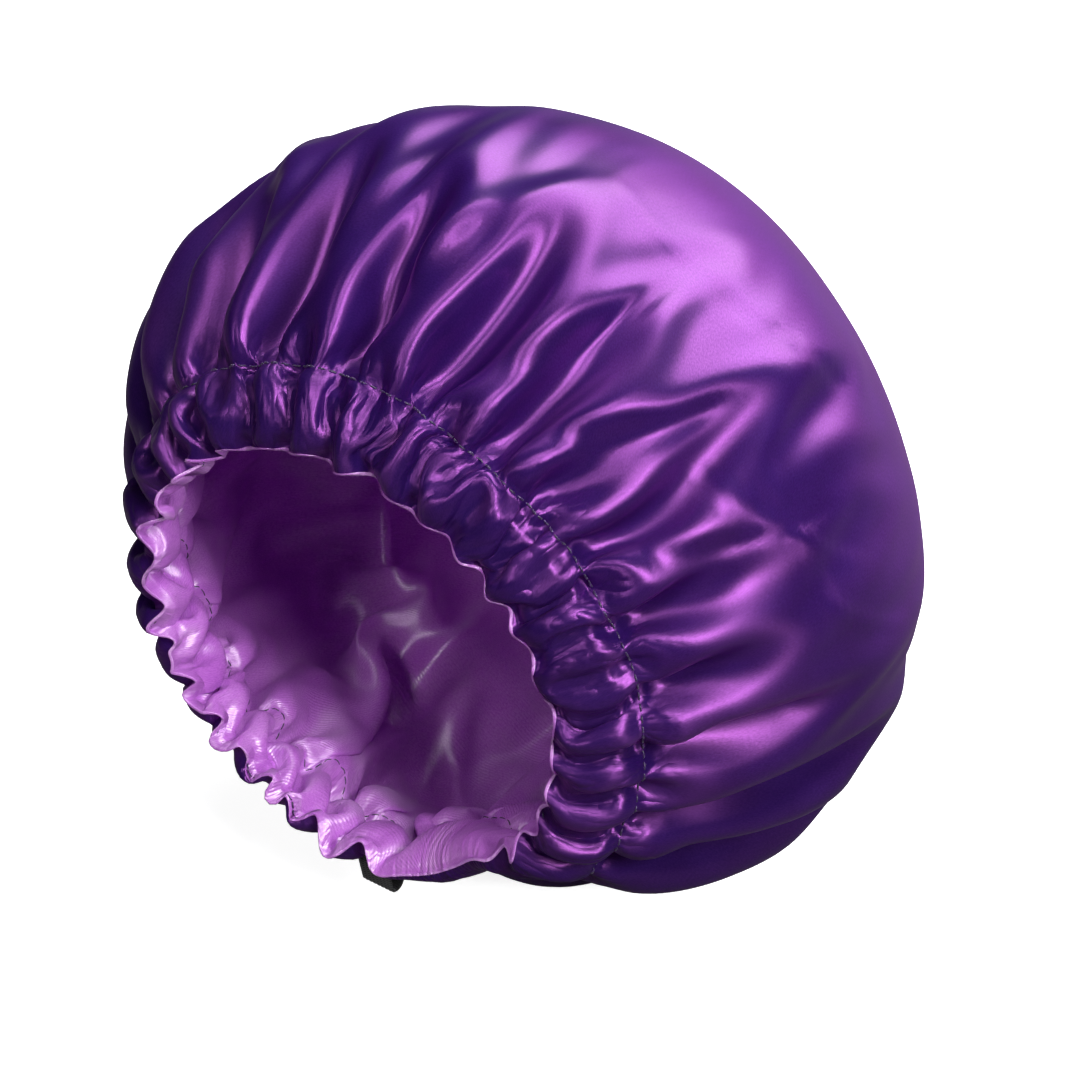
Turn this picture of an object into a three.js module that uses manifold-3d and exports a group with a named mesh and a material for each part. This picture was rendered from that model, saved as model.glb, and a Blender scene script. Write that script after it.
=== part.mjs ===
// Satin sleep cap: two gathered satin layers sewn together round a head opening, a flat elastic in
// the sewn casing, and a loop of that elastic drawn out of a slot at the nape.
// Millimetres, +Z up. The cap lies on its nape side: the opening faces -Y and the crown +Y.
import * as THREE from "three";
import { mergeVertices } from "three/addons/utils/BufferGeometryUtils.js";
import Module from "manifold-3d";

// Driving dimensions of the puffed cap
const CAP_DIAMETER = 264; // widest ring, at the middle of the cloth
const CROWN_DEPTH = 110; // from the widest ring back to the crown's pole
const SHOULDER_DEPTH = 90; // from the opening's plane back to the widest ring
const OPENING_DIAMETER = 150; // sewn edge, with the elastic relaxed
const REST_FLAT = 6; // how far the nape side is pressed flat by the surface that it lies on

// Cloth, elastic and thread
const FABRIC = 0.6; // wall of one satin layer
const LAYER_GAP = 0.4; // between the two layers where they are sewn together
const LINING_EASE = 1.6; // the lining hangs this much looser inside the crown
const ELASTIC_WIDTH = 12;
const ELASTIC_THICKNESS = 1.2;
const THREAD = 0.8; // diameter of a sewing thread
const SEAM_MARGIN = 6.5; // casing left free on each side of the elastic
const FIT_GAP = 0.3; // clearance between pieces that lie on each other

// Gathers of the casing
const PLEATS = 16; // gathers round the opening
const EDGE_RUFFLE = 2.5; // half the height of the ruffle along the sewn edge
const CASING_PUFF = 3; // how far the gathers stand off the elastic on each side
const SLOT_FLAT = 0.22; // radians on each side of the slot where the casing isn't gathered

// Folds of the shoulder
const FOLD_DEPTH = 10; // of a usual fold, below the puffed cloth
const FOLD_PUFF = 3.5; // how far the cloth between the folds is puffed out
const FOLD_WIDTH = THREE.MathUtils.degToRad(7); // half a fold, round the opening
const FOLD_RISE = 22; // cloth above the topstitch where the folds are deepest
const FOLD_REACH = 100; // cloth above the topstitch where a usual fold has smoothed out
const FOLD_FULL = 0.45; // share of its reach that a fold keeps its whole depth

// The folds as the cloth happens to lie, each with its place and lean in degrees round the opening,
// and with its depth and reach as shares of a usual fold's.
const FOLDS = [
  { at: 9, lean: 14, deep: 1.2, far: 0.95 },
  { at: 25, lean: 1, deep: 0.55, far: 1.4 },
  { at: 34, lean: 14, deep: 0.9, far: 1.5 },
  { at: 46, lean: 5, deep: 0.8, far: 0.75 },
  { at: 63, lean: 6, deep: 0.7, far: 0.7 },
  { at: 76, lean: 0, deep: 0.7, far: 0.6 },
  { at: 90, lean: 0, deep: 0.7, far: 0.8 },
  { at: 106, lean: 2, deep: 0.8, far: 1 },
  { at: 121, lean: 0, deep: 0.8, far: 1 },
  { at: 137, lean: -2, deep: 0.8, far: 1.1 },
  { at: 152, lean: 0, deep: 0.7, far: 0.8 },
  { at: 168, lean: 2, deep: 0.8, far: 1.1 },
  { at: 185, lean: 0, deep: 0.8, far: 0.9 },
  { at: 200, lean: -2, deep: 0.9, far: 1.2 },
  { at: 216, lean: 2, deep: 0.9, far: 1.2 },
  { at: 232, lean: 0, deep: 0.8, far: 1 },
  { at: 247, lean: 2, deep: 0.9, far: 1.2 },
  { at: 262, lean: -2, deep: 0.8, far: 1 },
  { at: 277, lean: 0, deep: 0.9, far: 1.1 },
  { at: 292, lean: 3, deep: 0.9, far: 1 },
  { at: 305, lean: 8, deep: 1.1, far: 1.2 },
  { at: 318, lean: 8, deep: 1, far: 0.95 },
  { at: 335, lean: 10, deep: 1, far: 1.2 },
  { at: 355, lean: 12, deep: 1.1, far: 0.85 },
];

// Casing turned forward at the nape and on the left, where it shows its lining
const TURNED_AT = THREE.MathUtils.degToRad(217); // middle of the turned stretch, round the opening
const TURNED_HALF = THREE.MathUtils.degToRad(80);
const TURNED_TILT = THREE.MathUtils.degToRad(30); // of the turned casing to the cap's axis
const TURNED_BEND = 4; // cloth below the topstitch that makes the bend
const DRAWN_IN = 7; // how far the shoulder behind it is drawn in
const DRAWN_REACH = 55; // cloth above the topstitch that is drawn in
const DRAWN_AT_SLOT = 0.75; // share of that beside the slot

// Loop of elastic at the nape
const LOOP_LENGTH = 15; // hangs this far below the slot
const LOOP_ROOT = 6; // length of its legs inside the casing
const LOOP_TILT = THREE.MathUtils.degToRad(12); // leans back along the shoulder below the slot
const LOOP_GAP = 1; // between its two legs
const SLOT_CLEARANCE = 1; // slot past the loop on each side
const SLOT_SETBACK = 1.5; // slot's middle lies this far in front of the casing's middle
const BAR_TACK_WIDTH = 2;
const BAR_TACK_HEIGHT = 0.6;
const JOIN_LENGTH = 10; // zigzag that joins the elastic's two ends

// Facets
const SEGMENTS = 92; // round the opening
const UPPER_ROWS = 9; // from the topstitch to the crown's pole
const ROW_CROWDING = 1.35; // above 1, rows lie closer together near the topstitch
const THREAD_SIDES = 3;
const BEND_SEGMENTS = 8;

// Worked-out dimensions
const RADIUS = CAP_DIAMETER / 2;
const CASING_WIDTH = ELASTIC_WIDTH + 2 * SEAM_MARGIN;
const EDGE_ANGLE = Math.PI - Math.asin(OPENING_DIAMETER / CAP_DIAMETER);
const SHOULDER_AXIS = -SHOULDER_DEPTH / Math.cos(EDGE_ANGLE);
const SEWN_FACE = LAYER_GAP / 2 + FABRIC; // face of a sewn layer from the seam's middle
const CHANNEL_OPEN = ELASTIC_THICKNESS / 2 + FIT_GAP - LAYER_GAP / 2;
const REST_HEIGHT = RADIUS + SEWN_FACE - REST_FLAT;
const NAPE = Math.PI; // angle round the opening, from the forehead at the top
const ARC_STEPS = 200;

const { smoothstep, lerp, degToRad, euclideanModulo } = THREE.MathUtils;
const wasm = await Module();
wasm.setup();

// Satin, elastic and thread finishes
const MATERIALS = {
  outer: new THREE.MeshStandardMaterial({ color: 0x4a1a86, roughness: 0.35, metalness: 0 }),
  lining: new THREE.MeshStandardMaterial({ color: 0xb56bc4, roughness: 0.4, metalness: 0 }),
  elastic: new THREE.MeshStandardMaterial({ color: 0x0b0b0a, roughness: 0.8, metalness: 0 }),
  thread: new THREE.MeshStandardMaterial({ color: 0x2a0d52, roughness: 0.6, metalness: 0 }),
};

// The cap's meridian: a point of the middle of the cloth and the way out of it, as [radius, depth].
// The angle runs from 0 at the crown's pole to EDGE_ANGLE at the sewn edge.
function meridian(angle) {
  const axis = angle < Math.PI / 2 ? CROWN_DEPTH : SHOULDER_AXIS;
  const point = new THREE.Vector2(RADIUS * Math.sin(angle), SHOULDER_DEPTH + axis * Math.cos(angle));
  const out = new THREE.Vector2(Math.sin(angle) / RADIUS, Math.cos(angle) / axis).normalize();
  return { point, out };
}

// Length of cloth for each radian of the meridian's angle.
function clothPerRadian(angle) {
  const axis = angle < Math.PI / 2 ? CROWN_DEPTH : SHOULDER_AXIS;
  return Math.hypot(RADIUS * Math.cos(angle), axis * Math.sin(angle));
}

// The meridian's angle at a length of cloth from the sewn edge.
function angleAt(cloth) {
  let angle = EDGE_ANGLE;
  for (let i = 0; i < ARC_STEPS; i++) angle -= cloth / ARC_STEPS / clothPerRadian(angle);
  return angle;
}

// The length of cloth from the sewn edge to an angle of the meridian.
function clothTo(angle) {
  const step = (EDGE_ANGLE - angle) / ARC_STEPS;
  let cloth = 0;
  for (let i = 0; i < ARC_STEPS; i++) cloth += step * clothPerRadian(EDGE_ANGLE - (i + 0.5) * step);
  return cloth;
}

const STITCH_ANGLE = angleAt(CASING_WIDTH);
const CASING_ANGLE = angleAt(CASING_WIDTH / 2); // middle of the casing

// 1 beside the slot, where the casing lies flat, and 0 away from it.
function besideSlot(turn) {
  return 1 - smoothstep(Math.abs(turn - NAPE), SLOT_FLAT, 2 * SLOT_FLAT);
}

// Height of the ruffle along the sewn edge: even gathers with a slower uneven swell.
function ruffle(cloth, turn) {
  const even = Math.cos(PLEATS * turn);
  const uneven = Math.cos((PLEATS / 2 + 1) * turn);
  const wave = (0.75 * even + 0.25 * uneven) * (1 - besideSlot(turn));
  return EDGE_RUFFLE * Math.max(0, 1 - cloth / SEAM_MARGIN) * wave;
}

// The difference of two angles round the opening, from minus to plus half a turn.
function turnFrom(turn, from) {
  return euclideanModulo(turn - from + Math.PI, 2 * Math.PI) - Math.PI;
}

// Height of the shoulder's folds: cloth puffed out between valleys that lean and smooth out.
function folds(cloth, turn) {
  const above = cloth - CASING_WIDTH;
  let height = FOLD_PUFF * (1 - smoothstep(above, FOLD_RISE, FOLD_REACH));
  for (const { at, lean, deep, far } of FOLDS) {
    const middle = degToRad(at + (lean * Math.max(above, 0)) / FOLD_REACH);
    const off = turnFrom(turn, middle) / FOLD_WIDTH;
    const fade = 1 - smoothstep(above, FOLD_FULL * far * FOLD_REACH, far * FOLD_REACH);
    height -= FOLD_DEPTH * deep * fade * Math.exp(-off * off);
  }
  return height * smoothstep(above, -SEAM_MARGIN / 2, FOLD_RISE);
}

// The cap's meridian at an angle round the opening, with the turned casing and the shoulder drawn in.
function lie(angle, turn) {
  const { point, out } = meridian(angle);
  const cloth = clothTo(angle);
  const share = Math.exp(-((turnFrom(turn, TURNED_AT) / TURNED_HALF) ** 6));
  const below = Math.max(CASING_WIDTH - cloth, 0);
  const forward = meridian(STITCH_ANGLE).point;
  forward.x -= below * Math.sin(TURNED_TILT);
  forward.y -= below * Math.cos(TURNED_TILT);
  const bent = share * smoothstep(below, 0, TURNED_BEND);
  point.lerp(forward, bent);
  out.lerp(new THREE.Vector2(Math.cos(TURNED_TILT), -Math.sin(TURNED_TILT)), bent).normalize();
  const fade = 1 - smoothstep(cloth, CASING_WIDTH, CASING_WIDTH + DRAWN_REACH);
  const drawn = DRAWN_IN * share * fade * lerp(1, DRAWN_AT_SLOT, besideSlot(turn));
  point.x -= drawn;
  point.y += drawn;
  return { point, out, cloth };
}

// How far a layer stands off the seam's middle to make room for the elastic.
function channel(cloth, turn) {
  const open = smoothstep(cloth, 0, SEAM_MARGIN);
  const close = 1 - smoothstep(cloth, CASING_WIDTH - SEAM_MARGIN, CASING_WIDTH);
  const gathers = lerp(0.5 + 0.5 * Math.cos(PLEATS * turn), 1, besideSlot(turn));
  return open * close * (CHANNEL_OPEN + CASING_PUFF * gathers);
}

// A place on the gathered cap. offset is measured out of the middle of the cloth, and side is 1 for
// the outer layer, -1 for the lining and 0 for what keeps to the plain casing, such as the elastic.
function capPoint({ angle, offset, side }, turn) {
  const { point, out, cloth } = lie(angle, turn);
  const ease = side < 0 ? LINING_EASE * smoothstep(cloth, CASING_WIDTH, 2 * CASING_WIDTH) : 0;
  const gathers = side === 0 ? 0 : ruffle(cloth, turn) + folds(cloth, turn);
  const rise = offset - ease + gathers + side * channel(cloth, turn);
  const radius = point.x + out.x * rise;
  const place = new THREE.Vector3(
    radius * Math.sin(turn),
    point.y + out.y * rise,
    radius * Math.cos(turn),
  );
  const floor = -REST_HEIGHT + SEWN_FACE - offset + ease;
  place.z = Math.max(place.z, floor);
  return place;
}

// The meridian's angles for rows from the sewn edge to the crown's pole, crowded towards the casing.
function rowAngles() {
  const inMargin = [0, 0.45 * SEAM_MARGIN, SEAM_MARGIN];
  const casing = [...inMargin, CASING_WIDTH / 2, ...inMargin.map((c) => CASING_WIDTH - c).reverse()];
  const rows = casing.map(angleAt);
  for (let row = 1; row <= UPPER_ROWS; row++)
    rows.push(STITCH_ANGLE * (1 - (row / UPPER_ROWS) ** ROW_CROWDING));
  return rows;
}

// Revolves a profile of cap places about the cap's axis, and gathers it. Quads from row flipFrom on
// are split along their other diagonal, so that the facing sides of two layers are parallel.
function gathered(profile, flipFrom = Infinity) {
  const plain = profile.map((p) => capPoint({ ...p, side: 0 }, 0)).map((v) => new THREE.Vector2(v.z, v.y));
  const geometry = new THREE.LatheGeometry(plain, SEGMENTS);
  const position = geometry.getAttribute("position");
  const rows = profile.length;
  const index = [];
  for (let i = 0; i <= SEGMENTS; i++) {
    const turn = ((i % SEGMENTS) / SEGMENTS) * 2 * Math.PI;
    for (let j = 0; j < rows; j++) {
      position.setXYZ(i * rows + j, ...capPoint(profile[j], turn).toArray());
      if (i === SEGMENTS || j === rows - 1) continue;
      const [a, b] = [i * rows + j, (i + 1) * rows + j];
      const [c, d] = [b + 1, a + 1];
      index.push(...(j < flipFrom ? [a, b, d, c, d, b] : [a, b, c, a, c, d]));
    }
  }
  return geometry.setIndex(index);
}

// One satin layer, as a thin shell from the crown's pole to the sewn edge.
function satinLayer(side) {
  const rows = rowAngles();
  const outside = side > 0 ? SEWN_FACE : -LAYER_GAP / 2;
  const down = rows.toReversed().map((angle) => ({ angle, offset: outside - FABRIC, side }));
  const up = rows.map((angle) => ({ angle, offset: outside, side }));
  return gathered([...down, ...up], down.length - 1);
}

// A ring with a polygon section about a place of the casing, following one layer's folds.
function ring(cloth, offset, side, radius) {
  const section = [];
  for (let k = 0; k <= THREAD_SIDES; k++) {
    const turn = (k / THREAD_SIDES) * 2 * Math.PI;
    section.push({
      angle: angleAt(cloth + radius * Math.sin(turn)),
      offset: offset + radius * Math.cos(turn),
      side,
    });
  }
  return gathered(section);
}

// Geometry with only merged positions, as a solid that can be cut.
function solid(geometry, place = new THREE.Matrix4()) {
  const bare = geometry.clone().applyMatrix4(place);
  bare.deleteAttribute("normal");
  bare.deleteAttribute("uv");
  const { attributes, index } = mergeVertices(bare, 1e-3);
  return new wasm.Manifold(
    new wasm.Mesh({
      numProp: 3,
      vertProperties: attributes.position.array,
      triVerts: new Uint32Array(index.array),
    }),
  );
}

// A geometry less the volume of a tool, placed by a matrix.
function cut(geometry, tool, place) {
  const { vertProperties, triVerts } = solid(geometry).subtract(solid(tool, place)).getMesh();
  return new THREE.BufferGeometry()
    .setAttribute("position", new THREE.BufferAttribute(vertProperties, 3))
    .setIndex(new THREE.BufferAttribute(triVerts, 1));
}

// Middle of the slot, on the outer layer's outside at the nape.
const casingMiddle = capPoint({ angle: CASING_ANGLE, offset: 0, side: 0 }, NAPE);
const slotDepth = casingMiddle.y - SLOT_SETBACK;

// Height of the outer layer's outside over the slot's middle, found along the nape's meridian.
function napeHeight() {
  let place = casingMiddle;
  for (let cloth = CASING_WIDTH; cloth > 0; cloth -= CASING_WIDTH / ARC_STEPS) {
    place = capPoint({ angle: angleAt(cloth), offset: SEWN_FACE, side: 1 }, NAPE);
    if (place.y < slotDepth) break;
  }
  return place.z;
}
const slotPlace = new THREE.Matrix4().makeRotationX(LOOP_TILT).setPosition(0, slotDepth, napeHeight());
const LOOP_DEPTH = 2 * ELASTIC_THICKNESS + LOOP_GAP;

// Outer layer, with the slot that the elastic comes out of.
function outerShell() {
  const tool = new THREE.BoxGeometry(
    ELASTIC_WIDTH + 2 * SLOT_CLEARANCE,
    LOOP_DEPTH + 2 * SLOT_CLEARANCE,
    CASING_WIDTH,
  );
  return cut(satinLayer(1), tool, slotPlace);
}

// Flat elastic round the casing, open where the loop leaves it.
function elasticBand() {
  const half = { cloth: ELASTIC_WIDTH / 2, offset: ELASTIC_THICKNESS / 2 };
  const corners = [[1, 1], [1, -1], [-1, -1], [-1, 1], [1, 1]];
  const section = corners.map(([across, out]) => ({
    angle: angleAt(CASING_WIDTH / 2 + across * half.cloth),
    offset: out * half.offset,
    side: 0,
  }));
  const opening = new THREE.BoxGeometry(ELASTIC_WIDTH + 2 * FIT_GAP, 2 * CASING_WIDTH, 2 * CASING_WIDTH);
  return cut(gathered(section), opening, new THREE.Matrix4().setPosition(casingMiddle));
}

// Loop of elastic: a hairpin of two legs with a round fold, as wide along X as the elastic is.
function pullLoop() {
  const outer = LOOP_DEPTH / 2;
  const inner = LOOP_GAP / 2;
  const top = LOOP_ROOT;
  const bend = outer - LOOP_LENGTH;
  const outline = new THREE.Shape()
    .moveTo(-outer, top)
    .lineTo(-outer, bend)
    .absarc(0, bend, outer, Math.PI, 2 * Math.PI, false)
    .lineTo(outer, top)
    .lineTo(inner, top)
    .lineTo(inner, bend)
    .absarc(0, bend, inner, 2 * Math.PI, Math.PI, true)
    .lineTo(-inner, top);
  const options = { depth: ELASTIC_WIDTH, bevelEnabled: false, curveSegments: BEND_SEGMENTS };
  const flat = new THREE.ExtrudeGeometry(outline, options).translate(0, 0, -ELASTIC_WIDTH / 2);
  return flat.rotateY(Math.PI / 2).rotateX(Math.PI / 2);
}

// A flat patch of stitching, lying on a face of the casing at an angle round the opening.
function patchOn(geometry, name, material, base, turn, height) {
  const mesh = new THREE.Mesh(geometry, material);
  const { out } = lie(base.angle, turn);
  const normal = new THREE.Vector3(out.x * Math.sin(turn), out.y, out.x * Math.cos(turn));
  mesh.name = name;
  mesh.position.copy(capPoint(base, turn)).addScaledVector(normal, FIT_GAP + height / 2);
  const across = new THREE.Vector3(Math.cos(turn), 0, -Math.sin(turn));
  mesh.quaternion.setFromRotationMatrix(
    new THREE.Matrix4().makeBasis(across, normal.clone().cross(across).negate(), normal.negate()),
  );
  return mesh;
}

function named(name, geometry, material) {
  const mesh = new THREE.Mesh(geometry, material);
  mesh.name = name;
  return mesh;
}

const cap = new THREE.Group();
cap.add(named("outer_shell", outerShell(), MATERIALS.outer));
cap.add(named("lining_shell", satinLayer(-1), MATERIALS.lining));
cap.add(named("elastic_band", elasticBand(), MATERIALS.elastic));

// Lockstitch threads of the topstitch, one on each face, and of the seam along the edge.
const threadRise = SEWN_FACE + FIT_GAP + THREAD / 2;
cap.add(named("topstitch_needle_thread", ring(CASING_WIDTH, threadRise, 1, THREAD / 2), MATERIALS.thread));
cap.add(named("topstitch_bobbin_thread", ring(CASING_WIDTH, -threadRise, -1, THREAD / 2), MATERIALS.thread));
const edgeThreadRise = SEWN_FACE - FABRIC - FIT_GAP - THREAD / 2;
cap.add(named("edge_seam_thread", ring(0.6 * SEAM_MARGIN, edgeThreadRise, 1, THREAD / 2), MATERIALS.thread));

// Bar tacks at the slot's two ends, and the zigzag that joins the elastic's ends at the forehead.
const slotEnd = ELASTIC_WIDTH / 2 + SLOT_CLEARANCE + BAR_TACK_WIDTH;
for (const [name, sign] of [["slot_bar_tack_left", 1], ["slot_bar_tack_right", -1]]) {
  const bar = new THREE.BoxGeometry(BAR_TACK_WIDTH, LOOP_DEPTH + 2 * SLOT_CLEARANCE, BAR_TACK_HEIGHT);
  const base = { angle: CASING_ANGLE, offset: SEWN_FACE, side: 1 };
  const turn = NAPE + (sign * slotEnd) / -casingMiddle.z;
  cap.add(patchOn(bar, name, MATERIALS.thread, base, turn, BAR_TACK_HEIGHT));
}
const zigzag = new THREE.BoxGeometry(JOIN_LENGTH, ELASTIC_WIDTH - 2 * FIT_GAP, THREAD / 2);
const elasticFace = { angle: CASING_ANGLE, offset: ELASTIC_THICKNESS / 2, side: 0 };
cap.add(patchOn(zigzag, "elastic_join_stitch", MATERIALS.thread, elasticFace, 0, THREAD / 2));

const loop = named("pull_loop", pullLoop(), MATERIALS.elastic);
loop.applyMatrix4(slotPlace);
cap.add(loop);

// The frame's origin is on the resting surface, under the middle of the cap.
const box = new THREE.Box3().setFromObject(cap, true);
const middle = box.getCenter(new THREE.Vector3());
cap.position.set(-middle.x, -middle.y, -box.min.z);

export default cap;
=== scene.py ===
import math

import bpy
import numpy as np
from mathutils import Matrix, Vector
from mathutils.bvhtree import BVHTree


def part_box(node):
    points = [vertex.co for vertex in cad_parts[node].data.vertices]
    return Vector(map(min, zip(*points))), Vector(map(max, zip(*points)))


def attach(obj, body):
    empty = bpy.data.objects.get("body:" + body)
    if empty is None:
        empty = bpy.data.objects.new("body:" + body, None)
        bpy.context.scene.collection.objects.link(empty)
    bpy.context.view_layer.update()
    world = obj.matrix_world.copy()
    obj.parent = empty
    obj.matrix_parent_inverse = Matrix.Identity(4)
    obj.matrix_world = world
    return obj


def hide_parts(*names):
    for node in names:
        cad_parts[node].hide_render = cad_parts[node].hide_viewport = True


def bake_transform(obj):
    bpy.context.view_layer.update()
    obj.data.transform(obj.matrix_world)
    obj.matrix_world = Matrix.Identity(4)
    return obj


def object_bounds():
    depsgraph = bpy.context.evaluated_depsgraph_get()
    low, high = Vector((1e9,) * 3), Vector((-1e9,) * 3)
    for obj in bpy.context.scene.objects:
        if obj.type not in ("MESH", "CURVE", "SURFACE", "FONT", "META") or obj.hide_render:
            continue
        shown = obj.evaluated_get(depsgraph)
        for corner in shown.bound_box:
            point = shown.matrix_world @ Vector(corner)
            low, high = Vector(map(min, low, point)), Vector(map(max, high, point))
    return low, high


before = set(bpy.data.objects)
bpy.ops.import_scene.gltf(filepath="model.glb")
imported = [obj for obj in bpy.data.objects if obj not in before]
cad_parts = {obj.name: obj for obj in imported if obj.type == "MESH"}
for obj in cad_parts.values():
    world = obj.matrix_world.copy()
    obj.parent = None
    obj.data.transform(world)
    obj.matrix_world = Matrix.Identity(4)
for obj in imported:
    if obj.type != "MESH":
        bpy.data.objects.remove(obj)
CAD_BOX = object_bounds()
LOOP_LOW, LOOP_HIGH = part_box("pull_loop")

TAU = 2 * math.pi
MM = 1e-3

# Dimensions of the cap in metres, as in the CAD model
R_MAX = 0.132  # radius of the puffed cap
CROWN = 0.110  # from the widest ring to the crown's pole
SHOULDER = 0.090  # from the widest ring to the rim
R_OPEN = 0.075  # radius of the relaxed opening
CASING = 0.025  # from the rim to the topstitch
BAND_AT = CASING / 2  # middle of the elastic, from the rim
SKIN = 0.0008  # outer face of the solid past the smooth cap
AXIS_X = (LOOP_LOW[0] + LOOP_HIGH[0]) / 2
AXIS_Y = CAD_BOX[1][1] - CROWN - SKIN
AXIS_Z = 0.1268
FLOOR = 0.0006  # lowest height of the cloth

# Turned casing: angles in degrees, 0 at the forehead, 90 on the right and 180 at the nape
NAPE = 180
TURNED_AT, TURNED_WIDE, TURNED_TILT = 217, 80, 30
TUCK = 0.007  # how far the turned casing is drawn in
FLAP_AT, FLAP_WIDE, FLAP_OPEN = 154, 17, 40  # stretch beside the slot that lies flat and open
FLAP_IN, FLAP_BACK = 0.012, 0.004

# Elastic, loop and slot
ELASTIC_HALF, ELASTIC_HALF_THICK, ELASTIC_RIBS = 0.006, 0.0006, 8
LOOP_TILT = math.radians(12)
LOOP_BOW = 0.0029  # radius of the loop's fold
SLOT_HALF, SLOT_HALF_HIGH = 4.6, 0.0045  # degrees round the rim, metres across the casing
TACK_AT = 5.9  # degrees from the slot's middle
BAND_OPEN = 4.4  # degrees from the slot's middle to the ends of the elastic in the casing

# Grid of the cloth: columns round the opening, rows from the crown to the rim
NT = 512
SHOULDER_ROWS, CASING_ROWS = 75, 17
STITCH = SHOULDER_ROWS - 1
RIM = STITCH + CASING_ROWS - 1


def smooth(x, a, b):
    t = np.clip((x - a) / (b - a), 0, 1)
    return t * t * (3 - 2 * t)


def unit(v):
    return v / np.linalg.norm(v, axis=-1, keepdims=True)


def turn(th, at):
    """Signed angle from at, in degrees."""
    return (np.degrees(th) - at + 180) % 360 - 180


def bell(th, at, wide, power):
    """1 round the angle at, in degrees, and 0 well past wide on both sides of it."""
    return np.exp(-((turn(th, at) / wide) ** power))


# The meridian of the puffed cap, tabulated by the length of cloth from the crown's pole
EDGE = math.pi - math.asin(R_OPEN / R_MAX)
BACK = -SHOULDER / math.cos(EDGE)
ANGLES = np.linspace(0, EDGE, 4001)
HALF_AXIS = np.where(ANGLES < math.pi / 2, CROWN, BACK)
ARC_R, ARC_Y = R_MAX * np.sin(ANGLES), AXIS_Y + HALF_AXIS * np.cos(ANGLES)
ARC = np.concatenate([[0], np.cumsum(np.hypot(np.diff(ARC_R), np.diff(ARC_Y)))])
ARC_N = np.stack([np.sin(ANGLES) / R_MAX, np.cos(ANGLES) / HALF_AXIS])
ARC_N /= np.linalg.norm(ARC_N, axis=0)
S = ARC[-1]
FIRST_ROW = 0.040  # length of cloth from the pole
ROWS = np.concatenate([np.linspace(FIRST_ROW, S - CASING, SHOULDER_ROWS),
                       np.linspace(S - CASING, S, CASING_ROWS)[1:]])
GRID = np.meshgrid(ROWS, np.arange(NT) * TAU / NT, indexing="ij")


def smooth_cap(s, th):
    """Points and outward normals of the smooth cap, at cloth length s from the pole and angle th.
    Towards the nape and the left, the casing is turned forward, so that its inner face shows."""
    s, th = np.broadcast_arrays(s, th)
    r, y = np.interp(s, ARC, ARC_R), np.interp(s, ARC, ARC_Y)
    nr, ny = np.interp(s, ARC, ARC_N[0]), np.interp(s, ARC, ARC_N[1])
    past = np.maximum(s - S, 0)
    r, y = r + past * ny, y - past * nr
    along = np.maximum(s - (S - CASING), 0)
    turned = bell(th, TURNED_AT, TURNED_WIDE, 6)
    flare = turned * smooth(along, 0, 0.004)
    flap = bell(th, FLAP_AT, FLAP_WIDE, 4)
    tilt = np.radians(TURNED_TILT - FLAP_OPEN * flap)
    flared_r = np.interp(S - CASING, ARC, ARC_R) - np.sin(tilt) * along
    flared_y = np.interp(S - CASING, ARC, ARC_Y) - np.cos(tilt) * along
    r, y = r + (flared_r - r) * flare, y + (flared_y - y) * flare
    nr, ny = nr + (np.cos(tilt) - nr) * flare, ny + (-np.sin(tilt) - ny) * flare
    tuck = turned * (1 - 0.25 * bell(th, NAPE, 18, 4)) * (1 - smooth(S - s, CASING, 0.080))
    r, y = r - TUCK * tuck, y + TUCK * tuck
    flap = flap * (1 - smooth(S - s, CASING, 0.060))
    r, y = r - FLAP_IN * flap, y + FLAP_BACK * flap
    size = np.hypot(nr, ny)
    nr, ny = nr / size, ny / size
    return (np.stack([AXIS_X + r * np.sin(th), y, AXIS_Z + r * np.cos(th)], -1),
            np.stack([nr * np.sin(th), ny, nr * np.cos(th)], -1))


def on_cap(s, th, lift):
    """Points that stand out of the smooth cap by lift."""
    point, normal = smooth_cap(s, th)
    return point + normal * np.broadcast_to(lift, point.shape[:-1])[..., None]


def lift_of(P, s, th):
    """How far points stand out of the smooth cap."""
    point, normal = smooth_cap(s, th)
    return np.einsum("...k,...k", P - point, normal)


def normals(P):
    """Unit normals of a closed grid, pointing out of the cap."""
    th = np.roll(P, -1, 1) - np.roll(P, 1, 1)
    tm = np.empty_like(P)
    tm[1:-1] = P[2:] - P[:-2]
    tm[0], tm[-1] = P[1] - P[0], P[-1] - P[-2]
    n = np.cross(tm, th)
    return n / (np.linalg.norm(n, axis=-1, keepdims=True) + 1e-12)


def swell(th, terms, seed):
    """Periodic noise round the opening."""
    g = np.random.default_rng(seed)
    out = 0
    for k in range(1, terms + 1):
        out = out + g.normal() / math.sqrt(k) * np.cos(k * th + g.uniform(0, TAU))
    return out / math.sqrt(sum(1 / k for k in range(1, terms + 1)))


def billow(th, s, seed):
    """Slow noise over the whole cloth: plane waves of random direction, 18 to 55 radians per metre."""
    g = np.random.default_rng(seed)
    x, z = s * np.sin(th), s * np.cos(th)
    waves = 14
    out = 0
    for _ in range(waves):
        k = g.uniform(18, 55)
        a = g.uniform(0, TAU)
        out = out + np.sin(k * (x * math.cos(a) + z * math.sin(a)) + g.uniform(0, TAU))
    return out / math.sqrt(waves / 2)


def gather_phase(th, seed, count):
    """Phase of uneven gathers, count of them round the opening."""
    return count * th + 2.6 * swell(th, 7, seed)


def gather_wave(th, seed, count):
    return np.cos(gather_phase(th, seed, count)) * (1 + 0.6 * swell(th, 14, seed + 1))


def between(th, at):
    """A wave that is -1 at each of the angles, in degrees, and 1 halfway between neighbours."""
    at = np.sort(np.asarray(at, float) % 360)
    at = np.concatenate([[at[-1] - 360], at, [at[0] + 360]])
    return -np.cos(TAU * np.interp(np.degrees(th) % 360, at, np.arange(len(at))))


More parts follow.
